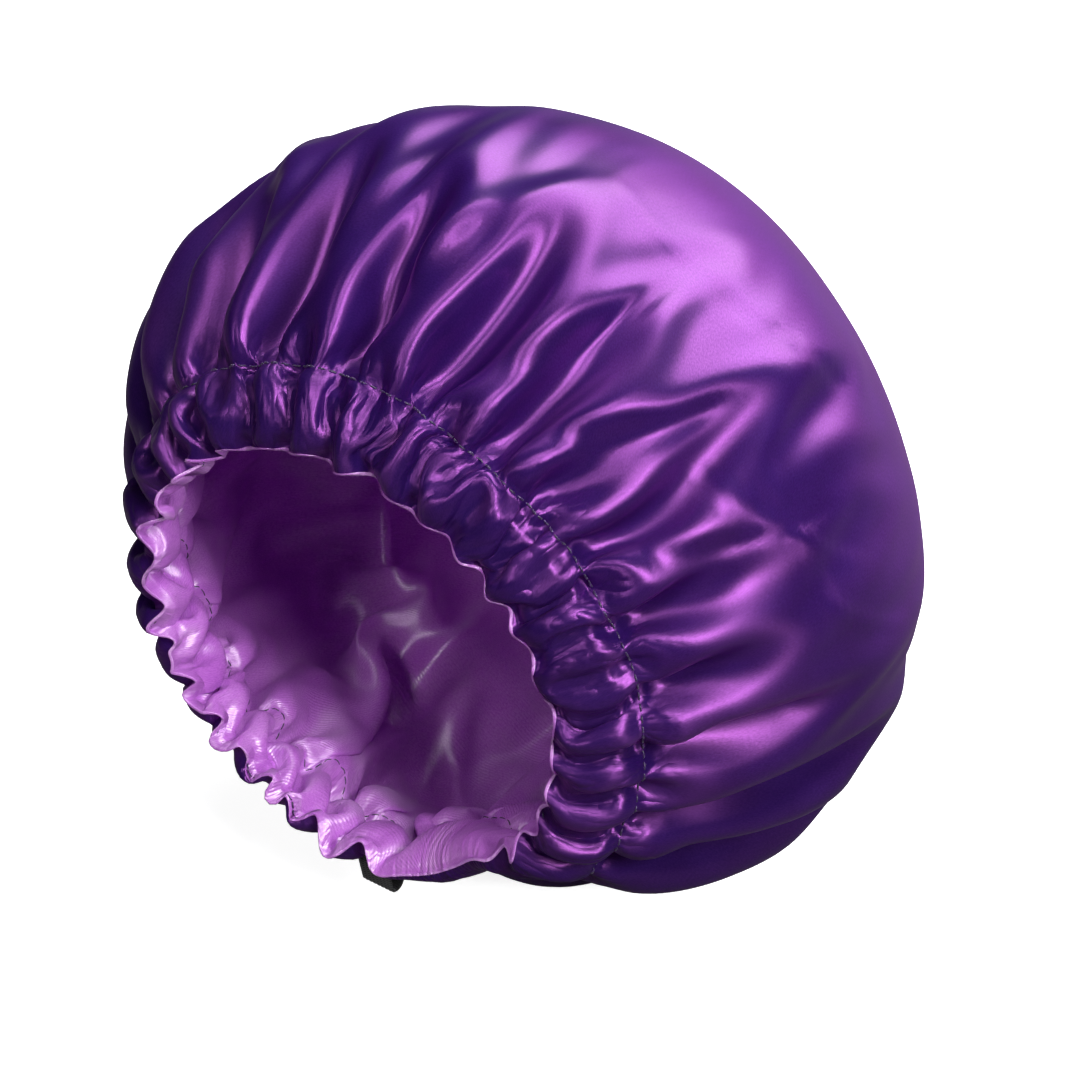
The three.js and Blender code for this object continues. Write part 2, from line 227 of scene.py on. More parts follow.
def tightness(th):
    """How closely the casing is gathered: slack by the nape slot, tight to the left of it."""
    return 1 + 0.9 * bell(th, 222, 30, 4) - 0.88 * bell(th, FLAP_AT + 3, FLAP_WIDE, 4)


def ruffled(th):
    """1 where the casing is gathered most closely."""
    return smooth(tightness(th), 1.2, 1.8)


RUFFLE = (35, 34)  # seed and count of the gathers in the tight stretch


def casing_wave(th):
    """Height of the gathers that run across the casing, from the rim to the topstitch."""
    ruffle = ruffled(th)
    even = 0.0030 * gather_wave(th, 23, 31) * np.clip(tightness(th), 0.1, 1) * (1 - 0.6 * ruffle)
    return even + ruffle * (0.0034 * gather_wave(th, *RUFFLE) + 0.0014 * gather_wave(th, 51, 57))


# Solver of the cloth
DAMPING = 0.88
PUSH, GIVE, MOST_PUSH = 2.0e-5, 0.012, 1.5  # step towards the target, distance of full force, its limit
STRETCH, SQUEEZE, SHEAR, FOLD = 0.5, 0.30, 0.12, 0.08  # shares of an error that one round mends
SLACK = 1.22  # length of the casing's cloth over the smooth casing's


def add_pull(C, P, down, across, length, stretch, squeeze):
    """Adds the moves that bring each point and the one down and across from it to their length."""
    n = len(P) - down
    d = np.roll(P[down:], -across, 1) - P[:n]
    size = np.sqrt(np.einsum("ijk,ijk->ij", d, d)) + 1e-12
    err = size - length
    c = d * (np.where(err > 0, stretch, squeeze) * 0.5 * err / size)[..., None]
    C[:n] += c
    C[down:] -= np.roll(c, across, 1)


def relax(P, held, rest_h, rest_m, bend, stiff, steps, push, target, cap, yield_in):
    """Relaxes a gathered sheet: cloth that can't stretch, pressed softly towards a target surface."""
    slant = np.sqrt(((rest_h[1:] + rest_h[:-1]) / 2) ** 2 + rest_m**2)
    springs = [(0, 1, rest_h, STRETCH, SQUEEZE), (1, 0, rest_m, STRETCH, SQUEEZE)]
    springs += [(1, side, slant, SHEAR, SHEAR) for side in (1, -1)]
    springs += [(0, k, k * rest_h, 0.0, bend / k if k > 2 else FOLD) for k in stiff]
    springs += [(2, 0, rest_m[:-1] + rest_m[1:], 0.0, FOLD)]
    keep = P.copy()
    last = P.copy()
    for _ in range(steps):
        V = (P - last) * DAMPING
        last = P.copy()
        lift = np.einsum("ijk,ijk->ij", P - cap[0], cap[1])
        a = np.clip((target - lift) / GIVE, -yield_in, MOST_PUSH)
        P = P + V + normals(P) * (push * a)[..., None]
        for _ in range(2):
            C = np.zeros_like(P)
            for spring in springs:
                add_pull(C, P, *spring)
            P = P + C
            P[held] = keep[held]
        P[..., 2] = np.maximum(P[..., 2], FLOOR)
    return P


def finer(P):
    """Twice the rows and columns of a grid."""
    m = np.empty((P.shape[0], 2 * P.shape[1], 3))
    m[:, ::2] = P
    m[:, 1::2] = (9 * (P + np.roll(P, -1, 1)) - np.roll(P, 1, 1) - np.roll(P, -2, 1)) / 16
    out = np.empty((2 * P.shape[0] - 1, m.shape[1], 3))
    out[::2] = m
    out[1::2] = (m[1:] + m[:-1]) / 2
    return out


def settle(seed, rim, stitch, target, full, steps, yield_in):
    """Relaxes one layer of cloth, on a coarse grid and then on a fine one."""
    P = None
    for skip, count, force, stiff in ((2, steps[0], PUSH, (2, 3)), (1, steps[1], 0.6 * PUSH, (2, 4))):
        rows, cols = ROWS[::skip], np.arange(NT // skip) * TAU / (NT // skip)
        TH, SS = np.meshgrid(cols, rows)
        P = on_cap(SS, TH, seed(TH, SS)) if P is None else finer(P)
        P[STITCH // skip], P[RIM // skip] = stitch(cols), rim(cols)
        rest_h = np.interp(SS, ARC, ARC_R) * full(TH, S - SS) * TAU / len(cols)
        rest_m = (np.diff(rows) * np.where(rows[1:] > S - CASING + 1e-6, SLACK, 1.0))[:, None]
        held = np.array([0, STITCH // skip, RIM // skip])
        bend = 0.12 * smooth(S - SS, CASING, CASING + 0.012)
        P = relax(P, held, rest_h, rest_m, bend, stiff, count, force, target(TH, SS), smooth_cap(SS, TH),
                  yield_in)
    return P


# Valleys of the outer shell's folds: angle at the topstitch, lean, depth in mm, width, reach in mm
LONG = [
    (277, 0, 13.5, 3.7, 110), (292, 3, 13.5, 3.7, 100), (305, 8, 16.5, 3.7, 120), (318, 8, 15, 4.4, 95),
    (333, 14, 16.5, 4.4, 135), (352, 7, 12, 3, 60), (8, 17, 18, 4.8, 120), (24, 4, 10, 3, 80),
    (36, 16, 14.5, 3.6, 150), (46, 5, 12, 3, 75), (63, 6, 10.5, 3, 70), (76, 0, 10.5, 3, 60),
    (90, 0, 10.5, 3.4, 80), (106, 2, 12, 3.7, 100), (121, 0, 12, 3.7, 100), (137, -2, 12, 3.7, 110),
    (152, 0, 10.5, 3.7, 80), (168, 2, 12, 3.7, 110), (185, 0, 12, 3.7, 90), (200, -2, 13.5, 3.7, 120),
    (216, 2, 13.5, 3.7, 120), (232, 0, 12, 3.7, 100), (247, 2, 13.5, 3.7, 120), (262, -2, 12, 3.7, 100),
]
SHORT = [
    (299, 0, 5, 2.5, 35), (326, 0, 5, 3, 40), (345, 4, 5, 3, 45), (2, 4, 4, 2.5, 40), (17, 6, 5, 2.5, 45),
    (40, 4, 5, 2.5, 45), (54, 0, 5, 3, 45), (70, 0, 5, 2.5, 35), (98, 0, 5, 3, 40), (129, 0, 5, 3, 40),
    (208, 0, 5, 3, 45), (225, 0, 5, 3, 40), (240, 0, 5, 3, 40), (270, 0, 5, 3, 40), (285, 0, 5, 3, 40),
]
VALLEYS = LONG + SHORT
PINCHES = [v[0] for v in VALLEYS]
LEAN_OVER = 0.1  # length of cloth over which a fold leans by its lean, in degrees


def folds(TH, SS, table):
    """Lopsided folds that run out of the topstitch, narrow and fade along their reach."""
    d = S - SS - CASING
    lift = np.zeros_like(TH)
    for at, lean, deep, wide, reach in table:
        off = turn(TH, at + lean * np.clip(d, 0, None) / LEAN_OVER)
        far = np.clip(d / (reach * MM), 0, 1)
        along = smooth(d, -0.004, 0.022) * (1 - far) ** 1.5 * (1 + 0.8 * far)
        side = np.where(off > 0, 1.3, 0.8) * wide * (1 - 0.3 * far)
        lift -= deep * MM * along * np.exp(-(abs(off) / side) ** 1.15)
    return lift


def in_casing(SS):
    d = S - SS
    return smooth(d, 0, 0.008) * (1 - smooth(d, CASING - 0.008, CASING))


def pinched(TH, d):
    """Small waves along the topstitch."""
    return 0.0010 * between(TH, PINCHES) * np.exp(-(((d - CASING) / 0.008) ** 2))


def rim_wave(TH, d):
    """The casing's gathers, from the rim to where they fade."""
    return casing_wave(TH) * (1 - smooth(d, 0.4 * CASING, CASING))


def outer_seed(TH, SS):
    d = S - SS
    lift = folds(TH, SS, VALLEYS) + 0.002 * billow(TH, SS, 5) * smooth(d, 0.03, 0.08)
    table = sorted((v[0], v[1]) for v in LONG)
    lean = np.interp(np.degrees(TH) % 360, *zip(*table), period=360)
    leant = np.radians(lean * np.clip(d - CASING, 0, None) / LEAN_OVER)
    ridge = between(TH - leant, [v[0] for v in LONG])
    lift += 0.0035 * ridge * smooth(d, CASING - 0.004, CASING + 0.012) * (1 - smooth(d, 0.045, 0.095))
    lift += pinched(TH, d)
    puff = 0.0045 + 0.0012 * between(TH, PINCHES) * tightness(TH)
    return lift + puff * in_casing(SS) + rim_wave(TH, d)


def outer_target(TH, SS):
    d = S - SS
    shell = -0.0010 + 0.006 * (1 - smooth(d, 0.05, 0.11))
    shell = shell + 0.0025 * billow(TH, SS, 9) * smooth(d, 0.04, 0.09)
    shell = shell + 0.9 * folds(TH, SS, VALLEYS)
    by_slot = bell(TH, NAPE, 9, 4)
    left = bell(TH, 225, 60, 6)
    return np.where(d < CASING - 1e-6, 0.006 + 0.003 * left - 0.003 * by_slot, shell)


def rim_edge(cols):
    along = 0.0012 * gather_wave(cols, 31, 25) * np.clip(tightness(cols), 0.25, 1)
    swing = 0.011 * ruffled(cols) * np.sin(2 * gather_phase(cols, *RUFFLE))
    return on_cap(S + along, cols + swing, casing_wave(cols))


def stitch_line(cols, lift=0.0):
    s = ROWS[STITCH] + 0.0010 * swell(cols, 18, 3)
    low = folds(cols[None], np.full((1, len(cols)), ROWS[STITCH]), VALLEYS)[0]
    wave = 0.0018 * between(cols, PINCHES) * np.clip(tightness(cols), 0.3, 1.2) + 0.3 * casing_wave(cols)
    return on_cap(s, cols, low + wave + lift)


def on_flap(TH, d):
    """1 on the stretch of the casing that lies flat beside the slot."""
    return bell(TH, FLAP_AT + 2, FLAP_WIDE + 1, 4) * (1 - smooth(d, 0.7 * CASING, 1.3 * CASING))


def outer_full(TH, d):
    """Length of cloth round the cap, over the smooth cap's.
    It is little on the right and over the crown, which are smooth."""
    full = np.interp(d, [0, 0.0125, 0.025, 0.036, 0.060, 0.090, 0.125, 0.170, 0.262],
                     [1.60, 2.40, 1.85, 2.15, 1.95, 1.60, 1.28, 1.08, 1.0])
    right = bell(TH, 62, 40, 4) * smooth(d, 0.036, 0.066)
    crown = bell(TH, 15, 88, 6) * smooth(d, 0.055, 0.105)
    return 1 + (full - 1) * (1 - 0.9 * right) * (1 - 0.85 * crown) * (1 - 0.9 * on_flap(TH, d))


def ease(P, rounds):
    """Evens out the shortest ripples of a layer, away from its seams."""
    d = S - ROWS
    share = (0.15 + 0.45 * smooth(d, 0.028, 0.045))[:, None, None]
    for _ in range(rounds):
        Q = (np.roll(P, 1, 1) + np.roll(P, -1, 1)) / 2
        Q[1:-1] = (Q[1:-1] + (P[2:] + P[:-2]) / 2) / 2
        Q[[0, STITCH, RIM]] = P[[0, STITCH, RIM]]
        P = P + share * (Q - P)
    return P


def clear_band(P, side):
    """Keeps the casing's cloth off the elastic on that side of it, 1 for outside and -1 for inside."""
    lift = lift_of(P, *GRID) * side
    least, soft = 0.0016, 0.0012
    eased = least + soft * np.logaddexp(0, (lift - least) / soft)
    d = S - GRID[0]
    share = smooth(d, 0.002, 0.006) * (1 - smooth(d, 0.019, 0.023))
    return P + side * smooth_cap(*GRID)[1] * ((eased - lift) * share)[..., None]


def iron(P):
    """Flattens the stretch of the casing that lies smooth beside the slot."""
    share = 0.5 * bell(GRID[1], FLAP_AT, 15, 4) * (1 - smooth(S - GRID[0], 0.6 * CASING, 0.95 * CASING))
    for _ in range(70):
        P = P + share[..., None] * ((np.roll(P, 1, 1) + np.roll(P, -1, 1)) / 2 - P)
    return P


def calm_crown(P, crisp):
    """Fades the folds out towards the crown's pole, the shortest first. Returns the pole's lift too."""
    s = ROWS[:, None]
    most = crisp * (4 + 26 * smooth(s, 0.05, 0.15))
    waves = np.fft.rfft(lift_of(P, *GRID), axis=1)
    waves = waves * np.exp(-((np.arange(NT // 2 + 1) / most) ** 4))
    low = np.fft.irfft(waves, NT, axis=1)
    near = int(np.searchsorted(ROWS, 0.070))
    pole = low[near].mean()
    low = np.where(s < ROWS[near], pole + (low[near] - pole) * (s / ROWS[near]) ** 2, low)
    low = low + 0.0012 * billow(GRID[1], GRID[0], 21) * smooth(s, 0.04, 0.09)
    share = 1 - smooth(s, 0.12, 0.19)
    return P + share[..., None] * (on_cap(*GRID, low) - P), pole


def pressed(P, table):
    """Raises thin lines of a layer, as creases and small folds.
    The table has their ends, as angle and mm from the rim, then height and width in mm."""
    d = (S - GRID[0]) * 1e3
    x, y = d * np.sin(GRID[1]), d * np.cos(GRID[1])
    lift = np.zeros_like(d)
    for (a0, d0), (a1, d1), high, wide in table:
        p = np.array([d0 * math.sin(math.radians(a0)), d0 * math.cos(math.radians(a0))])
        q = np.array([d1 * math.sin(math.radians(a1)), d1 * math.cos(math.radians(a1))])
        u = ((x - p[0]) * (q - p)[0] + (y - p[1]) * (q - p)[1]) / ((q - p) @ (q - p))
        off = np.hypot(x - p[0] - u * (q - p)[0], y - p[1] - u * (q - p)[1])
        ends = smooth(u, -0.1, 0.25), 1 - smooth(u, 0.75, 1.1)
        lift += high * MM * np.exp(-((off / wide) ** 2)) * ends[0] * ends[1]
    return P + smooth_cap(*GRID)[1] * lift[..., None]


# Creases left by the packet on the right of the shell
PACKET_CREASES = [
    ((44, 70), (74, 112), 0.9, 1.6), ((58, 68), (64, 108), -0.7, 1.4), ((50, 92), (80, 96), 0.7, 1.5),
    ((30, 118), (58, 150), -0.6, 1.6), ((70, 84), (88, 128), 0.7, 1.8), ((10, 128), (34, 128), 0.5, 1.8),
]

# Small folds that run slantwise over the puffs
SLANT_FOLDS = [
    ((338, 36), (350, 118), -4.5, 3.5), ((356, 36), (4, 96), -4.5, 3.0), ((12, 38), (26, 112), -4.0, 3.5),
    ((350, 52), (8, 124), 3.0, 5.0), ((322, 36), (330, 108), -4.0, 3.5), ((302, 36), (312, 100), -3.5, 3.5),
    ((28, 40), (42, 96), -3.5, 3.0), ((312, 56), (324, 112), 2.5, 4.0), ((286, 36), (296, 90), -3.5, 3.5),
    ((52, 40), (60, 78), -3.0, 2.6), ((84, 40), (90, 84), -3.0, 3.0), ((114, 40), (118, 92), -3.5, 3.5),
    ((145, 40), (149, 90), -3.0, 3.5), ((208, 40), (212, 96), -3.5, 3.5), ((240, 40), (244, 96), -3.5, 3.5),
]

outer_grid = settle(outer_seed, rim_edge, stitch_line, outer_target, outer_full, (170, 60), 0.25)
outer_grid, outer_pole = calm_crown(clear_band(iron(ease(outer_grid, 16)), 1), 1)
outer_grid = pressed(pressed(outer_grid, PACKET_CREASES), SLANT_FOLDS)
edge = outer_grid[RIM]

# Ridges of the lining, as the valleys of the outer shell
RIDGES = [
    (203, 10, 24, 6, 170), (216, 3, 16, 4, 100), (233, -3, 12, 6, 130), (251, 2, 14, 7, 150),
    (268, -2, 12, 6, 120), (285, 0, 14, 7, 150), (303, 3, 12, 6, 120), (321, -2, 14, 7, 150),
    (340, 2, 12, 6, 120), (358, 0, 14, 7, 150), (17, -2, 12, 6, 120), (36, 2, 14, 7, 150),
    (55, -1, 12, 6, 120), (74, 2, 14, 7, 150), (93, -2, 12, 6, 120), (112, 1, 14, 7, 150),
    (130, -2, 12, 6, 120), (149, 2, 10, 7, 110), (172, 0, 10, 6, 90), (189, 3, 9, 5, 80),
]

# Folds of the lining that reach up from the nape like fingers
FINGERS = [
    ((201, 150), (207, 70), -7, 6), ((208, 128), (213, 62), -7, 5), ((214, 120), (220, 58), -7, 5),
    ((222, 118), (228, 60), -6, 5), ((236, 168), (216, 136), -9, 7), ((189, 130), (190, 60), 4, 6),
]


def lining_target(TH, SS):
    d = S - SS
    dome = 0.030 * np.exp(-((turn(TH, 203) / 13) ** 2) - (((d - 0.142) / 0.028) ** 2))
    crest = 0.022 * bell(TH, 217 + 950 * (d - 0.137), 8, 2)
    crest = crest * smooth(d, 0.10, 0.14) * (1 - smooth(d, 0.19, 0.24))
    shell = -0.008 + 0.003 * billow(TH, SS, 12) * smooth(d, 0.04, 0.09)
    shell = shell - dome - crest + 0.6 * folds(TH, SS, RIDGES)
    return np.where(d < CASING - 1e-6, -0.0085, shell)


def lining_seed(TH, SS):
    d = S - SS
    lift = lining_target(TH, SS) * smooth(d, CASING, 0.06) + folds(TH, SS, RIDGES)
    lift += pinched(TH, d)
    return lift - 0.0040 * in_casing(SS) + rim_wave(TH, d)


def lining_full(TH, d):
    full = np.interp(d, [0, 0.0125, 0.025, 0.036, 0.060, 0.100, 0.150, 0.200, 0.262],
                     [1.60, 2.30, 1.70, 2.00, 1.80, 1.55, 1.25, 1.08, 1.0])
    nape = bell(TH, 212, 50, 4) * smooth(d, 0.035, 0.065)
    return 1 + (full - 1) * (1 - 0.75 * nape) * (1 - 0.9 * on_flap(TH, d))


inside_edge = edge + normals(outer_grid)[RIM] * -0.0005


def lining_rim(cols):
    return inside_edge[:: NT // len(cols)]


def lining_stitch(cols):
    return stitch_line(cols, -0.0012)


def widest(a):
    """The greater of each value and the mean of its neighbours round the opening."""
    return np.maximum(a, (np.roll(a, 1, 1) + np.roll(a, -1, 1)) / 2)


def kept_inside(lining, outer):
    """Moves the lining inwards where it would come through the outer shell, also under its valleys."""
    cap_normal = smooth_cap(*GRID)[1]
    q = np.arange(RIM * NT).reshape(RIM, NT)
    w = np.roll(q, -1, 1)
    faces = np.stack([q, q + NT, w + NT, w], -1).reshape(-1, 4)
    shell = BVHTree.FromPolygons(outer.reshape(-1, 3).tolist(), faces.tolist())
    lift = lift_of(lining, *GRID)
    room = lift.copy()
    for i, j in np.ndindex(RIM, NT):
        n = Vector(cap_normal[i, j])
        deep = 0.015 if i > STITCH else 0.05
        hit = shell.ray_cast(Vector(lining[i, j]) - n * (deep + lift[i, j]), n, 0.1)
        if hit[0] is not None:
            room[i, j] = hit[3] - deep
    for _ in range(2):
        room = np.minimum(np.minimum(np.roll(room, 1, 1), np.roll(room, -1, 1)), room)
    room[1:-1] = np.minimum(np.minimum(room[2:], room[:-2]), room[1:-1])
    margin = np.interp(S - GRID[0], [0, 0.004, CASING - 0.002, CASING + 0.006, CASING + 0.02],
                       [0, 0.0005, 0.0005, 0.0008, 0.0015])
    over = widest(widest(np.maximum(lift - room + margin, 0)))
    over[RIM] = 0
    return lining - cap_normal * over[..., None]


lining_grid = settle(lining_seed, lining_rim, lining_stitch, lining_target, lining_full, (140, 70), 1.5)
lining_grid, lining_pole = calm_crown(clear_band(iron(ease(lining_grid, 4)), -1), 2)
lining_grid = kept_inside(pressed(lining_grid, FINGERS), outer_grid)


def mesh_object(name, verts, faces, flat=None):
    """A smooth mesh, with its flat cut in metres as UV map where that is given."""
    mesh = bpy.data.meshes.new(name)
    mesh.from_pydata(np.asarray(verts).tolist(), [], faces)
    mesh.polygons.foreach_set("use_smooth", [True] * len(faces))
    if flat is not None:
        uv = mesh.uv_layers.new(name="flat_cut")
        loops = np.empty(len(mesh.loops), dtype=np.int32)
        mesh.loops.foreach_get("vertex_index", loops)
        uv.data.foreach_set("uv", flat[loops].astype(np.float32).ravel())
    mesh.update()
    obj = bpy.data.objects.new(name, mesh)
    bpy.context.scene.collection.objects.link(obj)
    return obj


def sheet_object(name, P, rows, lift, flip=False, gap=None):
    """A whole circle of cloth: the relaxed rows and the smooth crown inside them."""
    th = np.arange(NT) * TAU / NT
    inner = np.linspace(0.004, rows[0], 10)[:-1]
    start = lift_of(P[0], rows[0], th)
    crown = on_cap(inner[:, None], th[None], lift + (start - lift) * (inner[:, None] / rows[0]) ** 2)
    grid = np.concatenate([crown, P])
    s_all = np.concatenate([inner, rows])
    n = len(grid)
    verts = np.vstack([grid.reshape(-1, 3), on_cap(np.zeros(1), np.zeros(1), np.full(1, lift))])
    i, j = np.meshgrid(np.arange(n - 1), np.arange(NT), indexing="ij")
    a, b = i * NT + j, i * NT + (j + 1) % NT
    quads = np.stack([a, a + NT, b + NT, b], -1).reshape(-1, 4)
    if gap:
        keep = ~gap((s_all[i] + s_all[i + 1]) / 2, th[j] + math.pi / NT).ravel()
        quads = quads[keep]
    faces = quads.tolist() + [(n * NT, int(k), int((k + 1) % NT)) for k in range(NT)]
    if flip:
        faces = [f[::-1] for f in faces]
    flat = np.stack([s_all[:, None] * np.sin(th), s_all[:, None] * np.cos(th)], -1).reshape(-1, 2)
    return mesh_object(name, verts, faces, np.vstack([flat, [[0, 0]]]))


def in_slot(s, th):
    return (abs(turn(th, NAPE)) < SLOT_HALF) & (abs(S - s - BAND_AT) < SLOT_HALF_HIGH)


outer = sheet_object("outer_satin", outer_grid, ROWS, outer_pole, gap=in_slot)
outer_normals, lining_normals = normals(outer_grid), -normals(lining_grid)

# The lining's edge is turned over the rim by a hair, as a thin lilac line
rim_out = outer_normals[RIM]
rim_on = unit(outer_grid[RIM] - outer_grid[RIM - 1])
rolled = [edge + 0.0005 * rim_on, edge + 0.0004 * rim_on + 0.0004 * rim_out,
          edge - 0.0005 * rim_on + 0.0005 * rim_out]
rolled_rows = S + np.array([0.0007, 0.0012, 0.0021])
lining = sheet_object("lining_satin", np.concatenate([lining_grid, np.stack(rolled)]),
                      np.concatenate([ROWS, rolled_rows]), lining_pole, flip=True)

# Threads are tubes of six sides
SIDES = 6
RING = np.arange(SIDES) * TAU / SIDES


def sample(at, knots, points):
    return np.stack([np.interp(at, knots, points[:, c]) for c in range(3)], -1)


def tube(p, side, out, radius):
    """Rings of points round a path."""
    across, above = np.cos(RING)[:, None], np.sin(RING)[:, None]
    return p[:, None] + radius * (side[:, None] * across + out[:, None] * above)


def tube_faces(rings, sides=SIDES, first=0):
    faces = []
    for i in range(rings - 1):
        for j in range(sides):
            a, b = first + i * sides + j, first + i * sides + (j + 1) % sides
            faces.append((a, b, b + sides, a + sides))
    return faces


def stitches(name, path, normal, length, gap, radius, lie):
    """A row of single stitches along a closed path, each dipping into the cloth at its ends."""
    loop = np.vstack([path, path[:1]])
    arc = np.concatenate([[0], np.cumsum(np.linalg.norm(np.diff(loop, axis=0), axis=1))])
    count = round(arc[-1] / (length + gap))
    pitch = arc[-1] / count
    nn = np.vstack([normal, normal[:1]])
    verts, faces = [], []
    t = np.linspace(0, 1, 7)
    for k in range(count):
        at = k * pitch + t * (pitch - gap)
        n = unit(sample(at, arc, nn))
        p = sample(at, arc, loop) + n * (lie * (np.sin(math.pi * t) ** 0.5 * 2 - 1))[:, None]
        side = np.cross(unit(np.gradient(p, axis=0)), n)
        verts.append(tube(p, side, n, radius).reshape(-1, 3))
        faces += tube_faces(len(t), first=len(t) * SIDES * k)
    return mesh_object(name, np.vstack(verts), faces)


needle = stitches("topstitch_outside", outer_grid[STITCH], outer_normals[STITCH],
                  length=0.0026, gap=0.0008, radius=0.00030, lie=0.00030)
bobbin = stitches("topstitch_inside", lining_grid[STITCH], lining_normals[STITCH],
                  length=0.0026, gap=0.0008, radius=0.00020, lie=0.00018)
seam = stitches("edge_seam", (outer_grid[RIM - 1] + lining_grid[RIM - 1]) / 2, outer_normals[RIM - 1],
                length=0.0022, gap=0.0006, radius=0.00022, lie=0.00015)


def on_outer(s, th):
    """A point of the outer cloth and its normal, by cloth length and angle."""
    i = np.interp(s, ROWS, np.arange(len(ROWS)))
    j = th / TAU * NT
    i0, j0 = int(min(i, len(ROWS) - 2)), int(j)
    u, v = i - i0, j - j0
    corners = [(i0, j0, (1 - u) * (1 - v)), (i0, j0 + 1, (1 - u) * v),
               (i0 + 1, j0, u * (1 - v)), (i0 + 1, j0 + 1, u * v)]
    p = sum(outer_grid[a, b % NT] * c for a, b, c in corners)
    n = sum(outer_normals[a, b % NT] * c for a, b, c in corners)
    return p, n / np.linalg.norm(n)


def bar_tack(name, at):
    """A dense zigzag of thread across one end of the slot."""
    turns, high, swing, lie, radius, finer_by = 32, 0.0100, 0.55, 0.0003, 0.00024, 4
    points, outs = [], []
    for k in range(turns + 1):
        s = S - BAND_AT + (k / turns - 0.5) * high
        p, n = on_outer(s, math.radians(at + (swing if k % 2 else -swing)))
        points.append(p + n * lie)
        outs.append(n)
    knots = np.arange(turns + 1)
    fine = np.linspace(0, turns, turns * finer_by + 1)
    p, n = sample(fine, knots, np.array(points)), sample(fine, knots, np.array(outs))
    side = unit(np.cross(unit(np.gradient(p, axis=0)), n))
    return mesh_object(name, tube(p, side, n, radius).reshape(-1, 3), tube_faces(len(p)))


tacks = [bar_tack("bar_tack_left", NAPE + TACK_AT), bar_tack("bar_tack_right", NAPE - TACK_AT)]


def ribbed(name, path, across):
    """A flat ribbed elastic along a path, with the direction of its width at each point."""
    out = np.cross(unit(np.gradient(path, axis=0)), across)
    x = np.linspace(-1, 1, 33)
    edge_round = np.sqrt(np.clip(1 - np.clip((abs(x) - 0.94) / 0.06, 0, 1) ** 2, 0, 1)) * 0.85 + 0.15
    h = ELASTIC_HALF_THICK * edge_round * (0.84 + 0.16 * np.cos(ELASTIC_RIBS * math.pi * (x + 1)))
    px, ph = np.concatenate([x, x[::-1]]) * ELASTIC_HALF, np.concatenate([h, -h[::-1]])
    rings = path[:, None] + across[:, None] * px[:, None] + out[:, None] * ph[:, None]
    m = len(px)
    ends = [tuple(range(m))[::-1], tuple(range((len(path) - 1) * m, len(path) * m))]
    along = np.concatenate([[0], np.cumsum(np.linalg.norm(np.diff(path, axis=0), axis=1))])
    flat = np.stack(np.broadcast_arrays(px[None], along[:, None]), -1).reshape(-1, 2)
    return mesh_object(name, rings.reshape(-1, 3), tube_faces(len(path), m) + ends, flat)


# The elastic in the casing, open at the nape where it goes on into the loop
band_th = np.radians(np.linspace(NAPE + BAND_OPEN, NAPE + 360 - BAND_OPEN, 300))
BESIDE = 0.001
band_width = unit(on_cap(S - BAND_AT - BESIDE, band_th, 0.0) - on_cap(S - BAND_AT + BESIDE, band_th, 0.0))
band = ribbed("elastic_in_casing", on_cap(S - BAND_AT, band_th, 0.0), band_width)

# The loop of elastic drawn out of the slot: two legs and a round fold, tilted back
loop_length = (LOOP_HIGH[2] - LOOP_LOW[2]) / math.cos(LOOP_TILT) - LOOP_BOW
leg = np.linspace(0, 1, 24)
spread = LOOP_BOW * (0.55 + 0.45 * smooth(leg, 0, 0.6))
down = [(-w, -loop_length * k) for w, k in zip(spread, leg)]
fold = [(-LOOP_BOW * math.cos(q), -loop_length - LOOP_BOW * math.sin(q))
        for q in np.linspace(0, math.pi, 17)[1:-1]]
hairpin = np.array(down + fold + [(-w, z) for w, z in down[::-1]])
loop_tilt = np.array(Matrix.Rotation(LOOP_TILT, 3, "X"))
loop_top = np.array([AXIS_X, (LOOP_LOW[1] + LOOP_HIGH[1]) / 2 + 0.0022, LOOP_HIGH[2] - 0.0004])
loop_path = np.stack([np.zeros(len(hairpin)), hairpin[:, 0], hairpin[:, 1]], -1) @ loop_tilt.T + loop_top
pull_loop = ribbed("elastic_loop", loop_path, np.tile(np.array([1.0, 0, 0]), (len(loop_path), 1)))


def join_stitch(name):
    """Zigzag that joins the ends of the elastic, inside the casing at the forehead."""
    turns, half_angle, swing, lie, radius, finer_by = 24, 4, 0.005, 0.0009, 0.00022, 6
    knots = np.arange(turns + 1)
    th = np.radians(np.linspace(-half_angle, half_angle, turns + 1))
    zig = on_cap(S - BAND_AT + swing * np.where(knots % 2, 1, -1), th, lie)
    zig = sample(np.linspace(0, turns, turns * finer_by + 1), knots, zig)
    ahead = unit(np.gradient(zig, axis=0))
    side = unit(np.cross(ahead, zig - np.array([AXIS_X, AXIS_Y, AXIS_Z])))
    rings = tube(zig, side, np.cross(side, ahead), radius)
    return mesh_object(name, rings.reshape(-1, 3), tube_faces(len(zig)))


join = join_stitch("elastic_join")

WHITE = (1, 1, 1, 1)
WAVE = TAU / 20  # scale of a wave texture with a period of one


